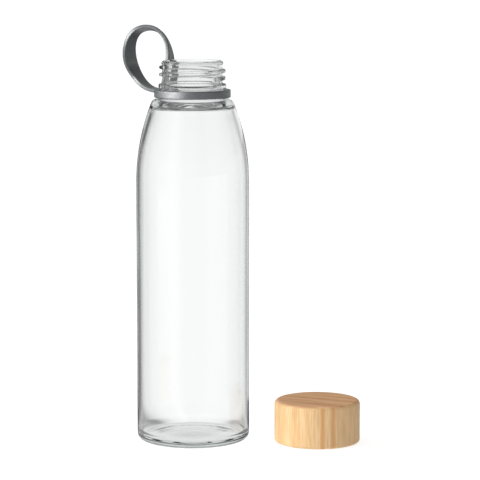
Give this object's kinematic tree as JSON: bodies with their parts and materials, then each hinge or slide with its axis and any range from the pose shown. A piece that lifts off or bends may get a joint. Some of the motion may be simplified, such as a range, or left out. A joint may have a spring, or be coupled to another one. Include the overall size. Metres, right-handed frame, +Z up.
{
  "type": "glass water bottle",
  "caption": "Clear glass water bottle with an ogive shoulder and threaded neck, a silicone carry strap round the neck, and a bamboo screw cap standing beside it.",
  "frame": {"origin": "centre of the footprint of the bottle and its cap, on the surface that both stand on", "axes": "+Z up along the bottle, +X from the bottle towards the cap, +Y away from the viewer"},
  "size_m": [0.138, 0.071, 0.2399],
  "materials": {
    "glass": "clear, fire polished",
    "silicone": "satin grey silicone",
    "bamboo": "satin, laminated strips",
    "plastic": "satin moulded white",
    "seal": "translucent white silicone"
  },
  "bodies": {
    "bottle": {"glass_bottle": "glass"},
    "ring": {"strap_ring": "silicone"},
    "loop": {"strap_loop": "silicone"},
    "seal": {"cap_seal": "seal"},
    "cap": {"cap_shell": "bamboo", "cap_insert": "plastic"}
  },
  "joints": [
    {"name": "strap_swivel", "type": "hinge", "parent": "bottle", "child": "ring", "pos_m": [-0.02775, -0.00271, 0.20135], "axis": [0, 0, 1], "continuous": true},
    {"name": "loop_flex", "type": "hinge", "parent": "ring", "child": "loop", "pos_m": [-0.04378, 0.01448, 0.2015], "axis": [-0.7314, -0.682, 0], "range_deg": [0, 60], "stiffness_Nm_per_rad": 0.02},
    {"name": "cap_lift", "type": "slide", "parent": "bottle", "child": "seal", "axis": [0, 0, 1], "range_m": [0, 0.25]},
    {"name": "cap_turn", "type": "hinge", "parent": "seal", "child": "cap", "pos_m": [0.04425, -0.01071, 0], "axis": [0, 0, 1], "continuous": true}
  ]
}
